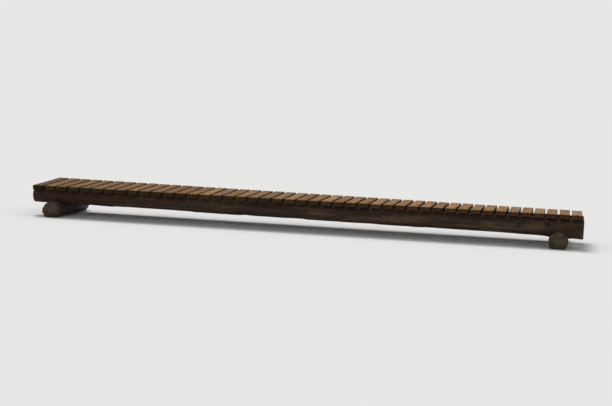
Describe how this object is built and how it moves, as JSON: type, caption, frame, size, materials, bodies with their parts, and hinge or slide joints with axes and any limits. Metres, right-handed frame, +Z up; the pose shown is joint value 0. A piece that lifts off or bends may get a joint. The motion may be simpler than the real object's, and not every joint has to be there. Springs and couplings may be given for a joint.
{
  "type": "wooden footbridge",
  "caption": "Low footbridge for a small stream: a deck of sawn crosswise boards with open gaps, laid on tapered log stringers that sit in saddles cut in a short sill log at each end.",
  "frame": {"origin": "middle of the bridge in plan, on the ground under the sills", "axes": "+X along the bridge, +Y across it, +Z up"},
  "size_m": [4.877, 0.94, 0.2955],
  "materials": {
    "deck_wood": "sawn boards, weathered brown-grey with open grain, dirt in the gaps and a little moss",
    "log_wood": "peeled cedar log, dark and damp, with knots, long checks and strips of bark left on",
    "sill_wood": "old cedar log, dark, muddy at the foot and mossy on top",
    "nail_iron": "wire nails, brown with rust"
  },
  "bodies": {
    "root": {"deck_board_01": "deck_wood", "deck_board_02": "deck_wood", "deck_board_03": "deck_wood", "deck_board_04": "deck_wood", "deck_board_05": "deck_wood", "deck_board_06": "deck_wood", "deck_board_07": "deck_wood", "deck_board_08": "deck_wood", "deck_board_09": "deck_wood", "deck_board_10": "deck_wood", "deck_board_11": "deck_wood", "deck_board_12": "deck_wood", "deck_board_13": "deck_wood", "deck_board_14": "deck_wood", "deck_board_15": "deck_wood", "deck_board_16": "deck_wood", "deck_board_17": "deck_wood", "deck_board_18": "deck_wood", "deck_board_19": "deck_wood", "deck_board_20": "deck_wood", "deck_board_21": "deck_wood", "deck_board_22": "deck_wood", "deck_board_23": "deck_wood", "deck_board_24": "deck_wood", "deck_board_25": "deck_wood", "deck_board_26": "deck_wood", "deck_board_27": "deck_wood", "deck_board_28": "deck_wood", "deck_board_29": "deck_wood", "deck_board_30": "deck_wood", "deck_board_31": "deck_wood", "deck_board_32": "deck_wood", "deck_board_33": "deck_wood", "deck_board_34": "deck_wood", "deck_board_35": "deck_wood", "deck_board_36": "deck_wood", "deck_board_37": "deck_wood", "deck_board_38": "deck_wood", "deck_board_39": "deck_wood", "deck_board_40": "deck_wood", "deck_board_41": "deck_wood", "deck_board_42": "deck_wood", "deck_board_43": "deck_wood", "deck_board_44": "deck_wood", "deck_board_45": "deck_wood", "stringer_near": "log_wood", "stringer_far": "log_wood", "sill_left": "sill_wood", "sill_right": "sill_wood"}
  },
  "joints": []
}
